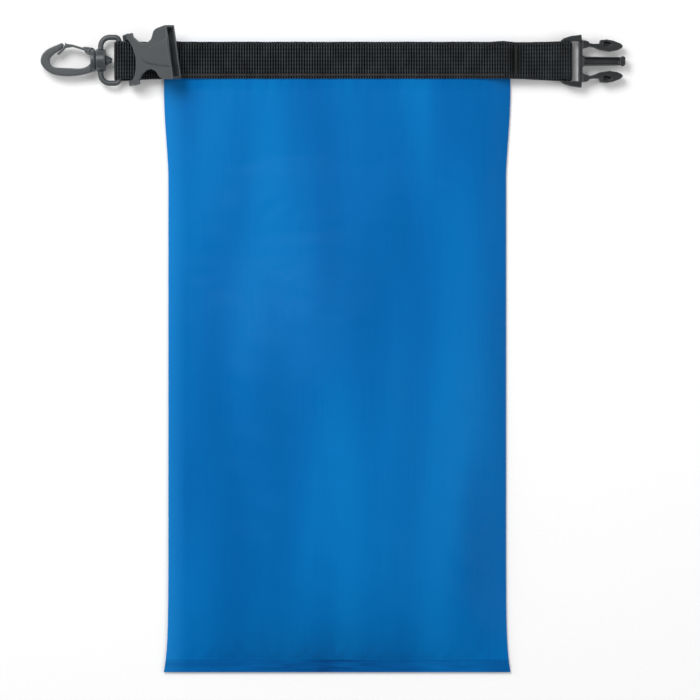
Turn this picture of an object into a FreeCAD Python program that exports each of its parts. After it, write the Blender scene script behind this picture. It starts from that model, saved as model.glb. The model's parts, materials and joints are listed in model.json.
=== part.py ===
import FreeCAD, Part
import math
import os

# A two-litre roll-top dry bag lying on its back. Millimetres.
# X runs along the mouth, Y from the bottom seam towards the mouth, Z out of the front.
# The origin is the middle of the back panel's underside, in the plane of the surface it lies on.

V = FreeCAD.Vector

# bag
BAG_BOTTOM = -172.0
BOTTOM_WELD_TOP = -165.0
NECK_Y = 127.0             # fold line between the bag and the roll band
STRIP_FOLD_Y = 151.2       # fold line between the roll band and the stiff mouth strip
MOUTH_Y = 171.3            # free edge of the mouth strip
HALF_WIDTH = 94.4          # at the mouth
WELD_HALF_WIDTH = 94.6     # at the bottom corners
FABRIC = 0.8
HEM = 1.3                  # fabric folded round the stiffener
MOUTH_GAP = 4.4            # how far the mouth stands open
EDGE_Z = 2 * FABRIC        # top of the front panel at the side seams
FOLD_GAP = 0.3
NECK_TOP = HEM + MOUTH_GAP + FABRIC
NECK_SQUARENESS = 16.0     # the neck and mouth are flat across, with tight sides

# seam tapes and stiffeners
TAPE_WIDTH = 6.0
TAPE = 0.3
SIDE_TAPE_X = 90.5         # outer edge of a side tape
SIDE_TAPE_START_Y = -152.0
BOTTOM_TAPE_HALF_LENGTH = 80.0
BOTTOM_TAPE_Y = -161.0
STIFFENER = 0.5
STIFFENER_HALF_LENGTH = 78.0
POCKET_WALL = 0.35
POCKET_CLEARANCE = 0.05
HEM_LIP = 1.2              # fabric between the stiffener and the free edge

# webbing
WEBBING = 1.2
STRAP_WIDTH = 20.0
STRAP_MID_Y = 161.5
TAB_X = 95.35              # where each tab bends off the strip
TAB_GAP = 0.15
STITCH = 0.2               # height of a row of thread
STITCH_WIDTH = 0.6
STITCH_INSET = 2.0
STITCH_HALF_LENGTH = 91.0
BAR_TACK = 0.3
BAR_TACK_WIDTH = 1.6
LOOP_CLEARANCE = 0.3       # between a bar and the webbing round it
LOOP_RAMP = (99.5, 105.5)  # where the top layer starts and ends its step to the loop

# swivel ring and snap hook, on one axis along X
RING_X = -118.8            # middle of the bar in the strap's loop
RING_LEFT_X = -128.7       # middle of the bar with the boss
RING_Z = 6.3
RING_WIRE = 1.5
RING_HALF_HEIGHT = 12.5
RING_TIGHT_CORNER = 2.2    # beside the strap's bar
RING_WIDE_CORNER = 5.0     # beside the boss
BOSS_LEFT_X = -131.3
BOSS_RIGHT_X = -125.9
BOSS_RADIUS = 6.1
BOSS_FILLET = 0.6
STEM_RADIUS = 2.2
SWIVEL_CLEARANCE = 0.08
HEAD_START_X = -125.6      # the cone that keeps the stem in the boss
HEAD_LENGTH = 3.2
HEAD_RADII = (2.9, 1.2)
COLLAR_LEFT_X = -134.0
COLLAR_RIGHT_X = -131.6
HOOK_THICKNESS = 4.6
GATE_ROOT = V(-135.1, STRAP_MID_Y + 5.1, 0)

# flexing arms turn about a round root in a lug
ROOT_RADIUS = 0.9
ROOT_CLEARANCE = 0.06
LUG_RADIUS = 1.9
ARM_INSET = 0.3            # how far an arm's faces lie inside its lug's

# female buckle: bar at the origin of its own frame, mouth towards +u
FEMALE_BAR = V(-112.7, STRAP_MID_Y, 6.6)
FEMALE_YAW = 8.0
FEMALE_PITCH = 30.0
FEMALE_LENGTH = 28.4
FEMALE_MOUTH_HALF_WIDTH = 14.8
SHOULDER = ((20.0, 12.6), (22.0, 13.9))    # u and half width where the side walls start
SOLE_START = 13.5
FEMALE_HALF_THICKNESS = 4.5
FEMALE_WALL = 1.3
EAR_INNER = 10.9
EAR_OUTER = 14.4
EAR_START = 2.9            # the deck stops short of the bar, so the buckle can stand up
FEMALE_BAR_RADIUS = 1.2
END_WALL_HALF_WIDTH = 5.5
PAD = 0.5                  # height of the raised thumb pad

# male buckle
MALE_BAR = V(125.7, 161.0, 5.6)
MALE_BAR_RADIUS = 1.3
MALE_BAR_HALF_LENGTH = 11.9
MALE_HALF_THICKNESS = 2.6
MALE_TIP_X = 156.9
GUIDE_INSET = 0.5          # how far the middle guide's faces lie inside the cross plate's
GROOVE_DEPTH = 3.0
PRONG_RECESS_DEPTH = 3.4
PRONG_ROOT = V(135.0, 9.3, 0)      # from the buckle's middle line


def box(x0, x1, y0, y1, z0, z1):
    return Part.makeBox(x1 - x0, y1 - y0, z1 - z0, V(x0, y0, z0))


def polygon_face(points):
    return Part.Face(Part.makePolygon(points + points[:1]))


def plan(points, z0, z1):
    """A flat shape given by its XY outline."""
    return polygon_face([V(x, y, z0) for x, y in points]).extrude(V(0, 0, z1 - z0))


def mirrored(points, middle=0.0):
    """An outline's upper half, with its mirror image below the middle line."""
    lower = [(x, 2 * middle - y) for x, y in reversed(points) if y != middle]
    return points + lower


def curve(points):
    """A smooth edge through the points."""
    spline = Part.BSplineCurve()
    spline.interpolate([V(*p) for p in points])
    return spline.toShape()


def fused(first, *others):
    return first.multiFuse(list(others)).removeSplitter()


# ---------------------------------------------------------------- fabric

ACROSS = (0.0, 0.35, 0.6, 0.8, 0.9, 0.96, 1.0)


def across(y, half_width, top, thickness, squareness):
    """One closed cross-section of the front fabric: a crowned strip from seam to seam."""
    steps = [-t for t in reversed(ACROSS)] + list(ACROSS[1:])
    rise = top - EDGE_Z
    upper = [
        V(t * half_width, y, EDGE_Z + rise * (1 - abs(t) ** squareness)) for t in steps
    ]
    lower = [V(p.x, y, p.z - thickness) for p in reversed(upper)]
    lower[0].z = lower[-1].z = EDGE_Z - FABRIC
    return Part.makePolygon(upper + lower + upper[:1])


# y, half width, height of the crown, squareness of the section
FRONT_SECTIONS = (
    (BOTTOM_WELD_TOP, 94.2, 2.6, 2.2),
    (-150.0, 93.4, 9.0, 2.2),
    (-112.0, 92.6, 15.0, 2.2),
    (-40.0, 92.4, 18.5, 2.2),
    (30.0, 92.4, 17.5, 2.4),
    (72.0, 92.5, 12.5, 3.0),
    (100.0, 93.2, 8.2, 6.0),
    (NECK_Y - FOLD_GAP / 2, HALF_WIDTH, NECK_TOP, NECK_SQUARENESS),
)


def bag_front_panel():
    wires = [
        across(y, width, top, FABRIC, squareness)
        for y, width, top, squareness in FRONT_SECTIONS
    ]
    return Part.makeLoft(wires, True, True)


def bag_back_panel():
    right = [(width, y) for y, width, _, _ in FRONT_SECTIONS]
    left = [(-x, y) for x, y in reversed(right)]
    return plan(right + left, 0.0, FABRIC)


def bottom_weld():
    """Both panels welded flat together below the bag."""
    top_half_width = FRONT_SECTIONS[0][1]
    outline = [
        (-WELD_HALF_WIDTH, BAG_BOTTOM),
        (WELD_HALF_WIDTH, BAG_BOTTOM),
        (top_half_width, BOTTOM_WELD_TOP),
        (-top_half_width, BOTTOM_WELD_TOP),
    ]
    return plan(outline, 0.0, 2 * FABRIC)


def side_seam_tape(side):
    low, high = sorted((side * SIDE_TAPE_X, side * (SIDE_TAPE_X - TAPE_WIDTH)))
    return box(low, high, SIDE_TAPE_START_Y, NECK_Y - 1.0, FABRIC, FABRIC + TAPE)


def bottom_seam_tape():
    half, start = BOTTOM_TAPE_HALF_LENGTH, BOTTOM_TAPE_Y
    return box(-half, half, start, start + TAPE_WIDTH, FABRIC, FABRIC + TAPE)


def front_strip(y0, y1, top, thickness):
    ends = [across(y, HALF_WIDTH, top, thickness, NECK_SQUARENESS) for y in (y0, y1)]
    return Part.makeLoft(ends, True, True)


BAND_START = NECK_Y + FOLD_GAP / 2
BAND_END = STRIP_FOLD_Y - FOLD_GAP / 2


def band_front():
    return front_strip(BAND_START, BAND_END, NECK_TOP, FABRIC)


def band_back():
    return box(-HALF_WIDTH, HALF_WIDTH, BAND_START, BAND_END, 0.0, FABRIC)


HEM_START = STRIP_FOLD_Y + FOLD_GAP / 2
HEM_TOP = 2 * HEM + MOUTH_GAP
POCKET = STIFFENER + 2 * POCKET_CLEARANCE
POCKET_END = MOUTH_Y - HEM_LIP


def pocket(z0):
    """The slot in a hem that the stiffener slides into, open along the sewn edge."""
    half = STIFFENER_HALF_LENGTH + POCKET_CLEARANCE
    return box(-half, half, HEM_START - 1.0, POCKET_END, z0, z0 + POCKET)


def stiffener(z0):
    half = STIFFENER_HALF_LENGTH
    start, end = HEM_START + 0.6, POCKET_END - POCKET_CLEARANCE
    z0 += POCKET_CLEARANCE
    return box(-half, half, start, end, z0, z0 + STIFFENER)


FRONT_POCKET_Z = HEM + MOUTH_GAP + POCKET_WALL
BACK_POCKET_Z = POCKET_WALL


def mouth_front_hem():
    return front_strip(HEM_START, MOUTH_Y, HEM_TOP, HEM).cut(pocket(FRONT_POCKET_Z))


def mouth_back_hem():
    flat = 0.9 * HALF_WIDTH
    thick = box(-flat, flat, HEM_START, MOUTH_Y, 0.0, HEM)
    thin = box(-HALF_WIDTH, HALF_WIDTH, HEM_START, MOUTH_Y, 0.0, FABRIC)
    return fused(thick, thin).cut(pocket(BACK_POCKET_Z))


# ---------------------------------------------------------------- webbing

STRAP_LOW = STRAP_MID_Y - STRAP_WIDTH / 2
STRAP_HIGH = STRAP_MID_Y + STRAP_WIDTH / 2
STRAP_TOP = HEM_TOP + WEBBING


def mouth_webbing():
    half = TAB_X - TAB_GAP
    return box(-half, half, STRAP_LOW, STRAP_HIGH, HEM_TOP, STRAP_TOP)


def mouth_stitching():
    """Two rows of thread that sew the webbing to the front hem, as raised lines."""
    half, wide = STITCH_HALF_LENGTH, STITCH_WIDTH / 2
    rows = []
    for y in (STRAP_LOW + STITCH_INSET, STRAP_HIGH - STITCH_INSET):
        rows.append(box(-half, half, y - wide, y + wide, STRAP_TOP, STRAP_TOP + STITCH))
    return Part.makeCompound(rows)


def ribbon(path, thickness, y0, y1):
    """Webbing whose middle line is an XZ path, as wide as y0 to y1."""
    left, right = [], []
    for i, (x, z) in enumerate(path):
        before, after = path[max(i - 1, 0)], path[min(i + 1, len(path) - 1)]
        into = V(x - before[0], 0, z - before[1]) if i else None
        out = V(after[0] - x, 0, after[1] - z) if i < len(path) - 1 else None
        into, out = into or out, out or into
        into.normalize()
        out.normalize()
        along = into + out
        along.normalize()
        reach = thickness / 2 / along.dot(into)
        normal = V(-along.z, 0, along.x) * reach
        left.append(V(x, y0, z) + normal)
        right.append(V(x, y0, z) - normal)
    return polygon_face(left + right[::-1]).extrude(V(0, y1 - y0, 0))


def strap_loop(side, bar_x, bar_z, bar_radius):
    """A tab of webbing that runs out over a bar, turns round it and comes back below."""
    radius = bar_radius + LOOP_CLEARANCE + WEBBING / 2
    middle = STRAP_TOP - WEBBING / 2
    returned = middle - WEBBING - 0.2
    start = TAB_X + TAB_GAP
    path = [(start, middle), (LOOP_RAMP[0], middle), (LOOP_RAMP[1], bar_z + radius)]
    for step in range(0, 13):
        turn = math.radians(90 - 15 * step)
        path.append((bar_x + radius * math.cos(turn), bar_z + radius * math.sin(turn)))
    path += [(bar_x - 9.0, bar_z - radius), (start + 3.2, returned), (start + 1.1, returned)]
    path = [(side * x, z) for x, z in path]
    return ribbon(path, WEBBING, STRAP_LOW, STRAP_HIGH)


def left_tab_webbing():
    return strap_loop(-1, -RING_X, RING_Z, RING_WIRE)


def right_tab_webbing():
    return strap_loop(1, MALE_BAR.x, MALE_BAR.z, MALE_BAR_RADIUS)


def bar_tack(side):
    """A dense zigzag of thread across the strap, where its returned end is sewn down."""
    start = TAB_X + 1.2
    x0, x1 = sorted((side * start, side * (start + BAR_TACK_WIDTH)))
    return box(x0, x1, STRAP_LOW + 1.2, STRAP_HIGH - 1.2, STRAP_TOP, STRAP_TOP + BAR_TACK)


# ---------------------------------------------------------------- swivel ring and hook


def cylinder_x(x0, x1, radius, y=STRAP_MID_Y, z=RING_Z):
    return Part.makeCylinder(radius, x1 - x0, V(x0, y, z), V(1, 0, 0))


def round_wire(path, radius):
    """A round wire along a planar path of tangent edges."""
    start = path.Edges[0].Vertexes[0].Point
    along = path.Edges[0].tangentAt(path.Edges[0].FirstParameter)
    section = Part.Wire(Part.makeCircle(radius, start, along))
    return path.makePipeShell([section], True, False)


def half_ring(turn):
    """Half of the ring's middle line, from the strap's bar to the boss. turn is 1 or -1."""
    half, tight, wide = RING_HALF_HEIGHT, RING_TIGHT_CORNER, RING_WIDE_CORNER
    bulge = 1 - math.sqrt(0.5)

    def at(x, off):
        return V(x, STRAP_MID_Y + turn * off, RING_Z)

    bar_end = at(RING_X, half - tight)
    right_mid = at(RING_X - tight * bulge, half - tight * bulge)
    top_right = at(RING_X - tight, half)
    top_left = at(RING_LEFT_X + wide, half)
    left_mid = at(RING_LEFT_X + wide * bulge, half - wide * bulge)
    left_end = at(RING_LEFT_X, half - wide)
    return Part.Wire([
        Part.makeLine(at(RING_X, 0), bar_end),
        Part.Arc(bar_end, right_mid, top_right).toShape(),
        Part.makeLine(top_right, top_left),
        Part.Arc(top_left, left_mid, left_end).toShape(),
        Part.makeLine(left_end, at(RING_LEFT_X, 0)),
    ])


def swivel_ring():
    """An oval loop with a boss on its left bar, bored for the hook's stem."""
    halves = [round_wire(half_ring(turn), RING_WIRE) for turn in (1, -1)]
    boss = cylinder_x(BOSS_LEFT_X, BOSS_RIGHT_X, BOSS_RADIUS)
    bore = cylinder_x(BOSS_LEFT_X - 1, BOSS_RIGHT_X + 1, STEM_RADIUS + SWIVEL_CLEARANCE)
    rim = [e for e in boss.Edges if abs(e.Length - 2 * math.pi * BOSS_RADIUS) < 0.01]
    return fused(boss.makeFillet(BOSS_FILLET, rim), *halves).cut(bore)


HOOK_LOW = RING_Z - HOOK_THICKNESS / 2
HOOK_HIGH = RING_Z + HOOK_THICKNESS / 2

# the hook's outline from the swivel axis: outside from the collar round to the nose
HOOK_OUTSIDE = (
    (-132.0, -5.9),
    (-137.9, -7.7),
    (-148.3, -8.6),
    (-157.0, -6.4),
    (-161.3, -0.6),
    (-159.4, 4.3),
    (-155.3, 7.0),
    (-149.8, 9.4),
)
# inside from the nose back to the collar
HOOK_INSIDE = (
    (-148.7, 8.6),
    (-152.8, 4.3),
    (-156.4, 0.2),
    (-155.3, -3.1),
    (-151.5, -4.1),
    (-143.1, -4.5),
    (-137.0, -3.9),
    (-134.4, -2.0),
)


def lug_cut(root, away, z0, z1, high, low):
    """The socket and the opening for a flexing arm's round root. away is the arm's side."""
    radius = ROOT_RADIUS + ROOT_CLEARANCE
    socket = Part.makeCylinder(radius, z1 - z0 + 2, root + V(0, 0, z0 - 1))
    x0, x1 = sorted((root.x, root.x + away * 3.5))
    slot = box(x0, x1, root.y - low, root.y + high, z0 - 1, z1 + 1)
    return socket.fuse(slot)


def snap_hook():
    """The moulded hook with its collar, swivel stem and the head that keeps it in the ring."""
    mid = STRAP_MID_Y
    outside = [(x, mid + y, HOOK_LOW) for x, y in HOOK_OUTSIDE]
    inside = [(x, mid + y, HOOK_LOW) for x, y in HOOK_INSIDE]
    collar_point = V(-132.0, mid - 2.0, HOOK_LOW)
    edges = [
        curve(outside),
        Part.makeLine(V(*outside[-1]), V(*inside[0])),
        curve(inside),
        Part.makeLine(V(*inside[-1]), collar_point),
        Part.makeLine(collar_point, V(*outside[0])),
    ]
    body = Part.Face(Part.Wire(edges)).extrude(V(0, 0, HOOK_THICKNESS))
    collar = cylinder_x(COLLAR_LEFT_X, COLLAR_RIGHT_X, BOSS_RADIUS)
    stem = cylinder_x(COLLAR_RIGHT_X - 0.5, -125.0, STEM_RADIUS)
    head = Part.makeCone(*HEAD_RADII, HEAD_LENGTH, V(HEAD_START_X, mid, RING_Z), V(1, 0, 0))
    lug_low, lug_high = HOOK_LOW + 0.2, HOOK_HIGH - 0.2
    lug = Part.makeCylinder(LUG_RADIUS, lug_high - lug_low, GATE_ROOT + V(0, 0, lug_low))
    whole = fused(body, collar, stem, head, lug)
    return whole.cut(lug_cut(GATE_ROOT, -1, lug_low, lug_high, 1.6, 1.7))


def flexing_arm(root, outline, z0, z1):
    """An arm given by its outline, with the round root that it flexes about."""
    pin = Part.makeCylinder(ROOT_RADIUS, z1 - z0, root + V(0, 0, z0))
    return fused(plan(outline, z0, z1), pin)


def hook_gate():
    """A thin springy arm that closes the hook's mouth and rests against its nose."""
    outline = [
        (-135.1, 5.7),
        (-140.0, 7.3),
        (-144.0, 8.5),
        (-147.2, 8.9),
        (-148.2, 9.8),
        (-148.0, 8.2),
        (-152.6, 3.4),
        (-151.4, 3.0),
        (-147.6, 6.8),
        (-144.0, 7.3),
        (-140.0, 6.1),
        (-135.3, 4.5),
    ]
    outline = [(x, y + STRAP_MID_Y) for x, y in outline]
    return flexing_arm(GATE_ROOT, outline, HOOK_LOW + ARM_INSET, HOOK_HIGH - ARM_INSET)


# ---------------------------------------------------------------- female buckle


def side_view(points, v0, v1):
    """A shape given by its (u, w) outline, from v0 to v1 across the buckle."""
    return polygon_face([V(u, v0, w) for u, w in points]).extrude(V(0, v1 - v0, 0))


# half outline of the deck: tail ear, waist, shoulder and mouth
FEMALE_OUTER = (
    (EAR_START, EAR_OUTER - 0.2),
    (4.0, EAR_OUTER - 0.3),
    (6.5, 12.0),
    (9.5, 8.8),
    (12.5, 7.3),
    (15.5, 7.3),
    (18.0, 8.8),
    *SHOULDER,
    (FEMALE_LENGTH, FEMALE_MOUTH_HALF_WIDTH),
)
FEMALE_TAIL_EDGE = ((6.4, 0.0), (6.1, 3.2), (5.3, 6.5), (4.0, 9.4), (EAR_START, EAR_INNER))
EAR_PROFILE = (
    (-1.2, -2.0),
    (1.2, -2.3),
    (4.0, 0.2),
    (6.5, FEMALE_HALF_THICKNESS - FEMALE_WALL),
    (6.5, FEMALE_HALF_THICKNESS),
    (EAR_START, FEMALE_HALF_THICKNESS),
    (0.8, 3.2),
    (-1.0, 2.2),
    (-2.3, 0.8),
    (-2.3, -0.8),
)
PAD_END = FEMALE_LENGTH - 0.4
PAD_OUTLINE = (
    (10.6, 0.0),
    (11.2, 1.7),
    (13.0, 3.1),
    (18.0, 5.0),
    (24.0, 6.6),
    (PAD_END, 7.4),
    (PAD_END, 0.0),
)


def female_ear(side):
    v0, v1 = sorted((side * EAR_INNER, side * (EAR_OUTER - 0.4)))
    return side_view(EAR_PROFILE, v0, v1)


def female_side_wall(side):
    outer = SHOULDER + ((FEMALE_LENGTH, FEMALE_MOUTH_HALF_WIDTH),)
    inner = [(u, v - FEMALE_WALL) for u, v in reversed(outer)]
    outline = [(u, side * v) for u, v in list(outer) + inner]
    return plan(outline, -FEMALE_HALF_THICKNESS, FEMALE_HALF_THICKNESS)


def female_buckle():
    """A side-release socket on a bar: two decks, end wall, side walls and two ears."""
    thick, wall, start = FEMALE_HALF_THICKNESS, FEMALE_WALL, SOLE_START
    top = plan(mirrored(list(FEMALE_TAIL_EDGE + FEMALE_OUTER)), thick - wall, thick)
    sole_half = [(start, 0.0), (start, 7.2), (15.5, 7.2), *FEMALE_OUTER[6:]]
    sole_half.append((FEMALE_LENGTH, 0.0))
    bar_half = EAR_INNER + 1.0
    pieces = [
        plan(mirrored(sole_half), -thick, wall - thick),
        box(start, start + wall, -END_WALL_HALF_WIDTH, END_WALL_HALF_WIDTH, -thick, thick),
        plan(mirrored(list(PAD_OUTLINE)), thick - 0.2, thick + PAD),
        Part.makeCylinder(FEMALE_BAR_RADIUS, 2 * bar_half, V(0, -bar_half, 0), V(0, 1, 0)),
    ]
    for side in (1, -1):
        pieces += [female_ear(side), female_side_wall(side)]
    whole = fused(top, *pieces)
    whole.rotate(V(0, 0, 0), V(0, 1, 0), -FEMALE_PITCH)
    whole.rotate(V(0, 0, 0), V(0, 0, 1), FEMALE_YAW)
    whole.translate(FEMALE_BAR)
    return whole


# ---------------------------------------------------------------- male buckle

MALE_LOW = MALE_BAR.z - MALE_HALF_THICKNESS
MALE_HIGH = MALE_BAR.z + MALE_HALF_THICKNESS
ARM_LOW = MALE_LOW + ARM_INSET
ARM_HIGH = MALE_HIGH - ARM_INSET

CROSS_PLATE = ((131.4, -11.2), (133.6, -11.2), (133.6, 11.2), (131.4, 11.2))
MALE_EAR = (
    (121.4, 11.0),
    (123.2, 12.4),
    (127.0, 13.6),
    (133.0, 14.4),
    (133.2, 10.9),
    (121.6, 10.9),
)
GUIDE_HALF = (
    (133.0, 3.6),
    (134.8, 2.4),
    (154.6, 2.2),
    (155.2, 2.9),
    (156.6, 2.3),
    (MALE_TIP_X, 1.6),
)
GROOVE = ((134.6, -1.6), (153.8, -1.3), (153.8, 1.4), (134.6, 1.7))
PRONG_OUTLINE = (
    (135.0, 8.5),
    (139.6, 7.5),
    (142.9, 6.1),
    (148.3, 5.3),
    (152.6, 6.0),
    (155.0, 7.2),
    (155.6, 8.2),
    (154.2, 9.6),
    (150.0, 11.2),
    (146.6, 11.8),
    (142.9, 11.4),
    (142.6, 9.5),
    (139.6, 9.4),
    (135.0, 10.1),
)
PRONG_RECESS = ((144.6, 8.2), (144.8, 10.4), (147.2, 10.6), (149.6, 9.2), (147.6, 8.3))


def on_male(points, side=1):
    """An outline given from the buckle's middle line, on its upper or lower side."""
    return [(x, MALE_BAR.y + side * y) for x, y in points]


def prong_root(side):
    return V(PRONG_ROOT.x, MALE_BAR.y + side * PRONG_ROOT.y, 0)


def male_buckle():
    """The strap bar between two ears, the cross plate and the grooved middle guide."""
    half = MALE_BAR_HALF_LENGTH
    bar = Part.makeCylinder(MALE_BAR_RADIUS, 2 * half, MALE_BAR - V(0, half, 0), V(0, 1, 0))
    guide = on_male(mirrored(list(GUIDE_HALF)))
    pieces = [bar, plan(guide, MALE_LOW + GUIDE_INSET, MALE_HIGH - GUIDE_INSET)]
    cuts = [plan(on_male(GROOVE), MALE_HIGH - GROOVE_DEPTH, MALE_HIGH)]
    for side in (1, -1):
        root = prong_root(side)
        pieces.append(plan(on_male(MALE_EAR, side), MALE_LOW, MALE_HIGH))
        pieces.append(
            Part.makeCylinder(LUG_RADIUS, ARM_HIGH - ARM_LOW, root + V(0, 0, ARM_LOW))
        )
        above, below = (1.1, 1.4)[::side]
        cuts.append(lug_cut(root, 1, ARM_LOW, ARM_HIGH, above, below))
    whole = fused(plan(on_male(CROSS_PLATE), MALE_LOW, MALE_HIGH), *pieces)
    return whole.cut(Part.makeCompound(cuts))


def male_prong(side):
    """A springy arm with an arrow head that catches behind the socket's shoulder."""
    arm = flexing_arm(prong_root(side), on_male(PRONG_OUTLINE, side), ARM_LOW, ARM_HIGH)
    recess = on_male(PRONG_RECESS, side)
    return arm.cut(plan(recess, ARM_HIGH - PRONG_RECESS_DEPTH, ARM_HIGH + 1))


# ---------------------------------------------------------------- the nodes

NODES = {
    "bag_front_panel": bag_front_panel(),
    "bag_back_panel": bag_back_panel(),
    "bottom_weld": bottom_weld(),
    "left_seam_tape": side_seam_tape(-1),
    "right_seam_tape": side_seam_tape(1),
    "bottom_seam_tape": bottom_seam_tape(),
    "band_front": band_front(),
    "band_back": band_back(),
    "mouth_front_hem": mouth_front_hem(),
    "mouth_back_hem": mouth_back_hem(),
    "front_stiffener": stiffener(FRONT_POCKET_Z),
    "back_stiffener": stiffener(BACK_POCKET_Z),
    "mouth_webbing": mouth_webbing(),
    "mouth_stitching": mouth_stitching(),
    "left_tab_webbing": left_tab_webbing(),
    "left_bar_tack": bar_tack(-1),
    "right_tab_webbing": right_tab_webbing(),
    "right_bar_tack": bar_tack(1),
    "swivel_ring": swivel_ring(),
    "snap_hook": snap_hook(),
    "hook_gate": hook_gate(),
    "female_buckle": female_buckle(),
    "male_buckle": male_buckle(),
    "male_prong_upper": male_prong(1),
    "male_prong_lower": male_prong(-1),
}

os.makedirs("parts", exist_ok=True)
for name, shape in NODES.items():
    shape.exportStep("parts/%s.step" % name)
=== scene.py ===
import json
import math

import bmesh
import bpy
import numpy as np
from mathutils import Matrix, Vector


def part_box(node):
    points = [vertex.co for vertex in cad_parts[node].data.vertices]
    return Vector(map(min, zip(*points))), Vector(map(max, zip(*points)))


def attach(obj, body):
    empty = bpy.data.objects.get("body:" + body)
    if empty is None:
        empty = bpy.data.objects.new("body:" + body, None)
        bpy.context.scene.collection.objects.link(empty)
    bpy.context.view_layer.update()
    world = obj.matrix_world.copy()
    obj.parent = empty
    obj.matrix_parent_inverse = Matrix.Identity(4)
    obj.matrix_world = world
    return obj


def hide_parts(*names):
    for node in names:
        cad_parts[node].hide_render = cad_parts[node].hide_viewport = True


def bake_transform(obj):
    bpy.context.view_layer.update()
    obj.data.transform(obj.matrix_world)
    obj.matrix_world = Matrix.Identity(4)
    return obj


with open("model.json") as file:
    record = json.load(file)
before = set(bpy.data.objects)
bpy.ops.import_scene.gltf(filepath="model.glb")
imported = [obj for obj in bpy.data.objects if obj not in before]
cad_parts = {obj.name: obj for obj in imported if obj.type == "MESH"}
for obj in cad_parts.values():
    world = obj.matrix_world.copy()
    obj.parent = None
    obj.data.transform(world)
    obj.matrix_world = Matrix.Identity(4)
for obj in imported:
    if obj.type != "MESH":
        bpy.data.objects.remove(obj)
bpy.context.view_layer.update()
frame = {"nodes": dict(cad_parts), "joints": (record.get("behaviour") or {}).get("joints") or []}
MM = 0.001

# ------------------------------------------------------------------ sizes, in mm, from the frame


def node_box(name):
    low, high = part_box(name)
    return np.array(low) / MM, np.array(high) / MM


def joint_place(name):
    joint = next(j for j in frame["joints"] if j["name"] == name)
    return np.array(joint["pos_m"]) / MM


FRONT_TOP = node_box("bag_front_panel")[1][2]
WELD_LOW, WELD_HIGH = node_box("bottom_weld")
BAND_LOW, BAND_HIGH = node_box("band_front")
HEM_HIGH = node_box("mouth_front_hem")[1]
BACK_HEM_HIGH = node_box("mouth_back_hem")[1]
STRAP_LOW, STRAP_HIGH = node_box("mouth_webbing")
STITCH_LOW, STITCH_HIGH = node_box("mouth_stitching")
LEFT_LOOP_END = -node_box("left_tab_webbing")[0][0]
RIGHT_LOOP_END = node_box("right_tab_webbing")[1][0]
GATE_LOW, GATE_HIGH = node_box("hook_gate")
PRONG_LOW, PRONG_HIGH = node_box("male_prong_upper")
BAG_FOLD = joint_place("roll_fold_bag")
STRIP_FOLD = joint_place("roll_fold_strip")
RING_BAR = joint_place("ring_swing")
MALE_BAR = joint_place("male_swing")
GATE_ROOT = joint_place("gate_flex")
PRONG_ROOT = joint_place("prong_upper_flex")
STRAP_BEND = abs(joint_place("left_tab_bend")[0])

BAG_BOTTOM = WELD_LOW[1]
WELD_TOP = WELD_HIGH[1]
MOUTH = HEM_HIGH[1]
SPLIT_Y = (BAND_LOW[1] + BAND_HIGH[1]) / 2     # where the lower and upper cloth pieces meet
CLOTH = 0.42                                   # thickness of the coated fabric
WEBBING = STRAP_HIGH[2] - STRAP_LOW[2]
RIB_PITCH = 1.42                               # of the webbing's ribs
KNOT_PITCH = 2.1                               # of the crossings along a rib

# ------------------------------------------------------------------ node-tree helpers


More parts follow.
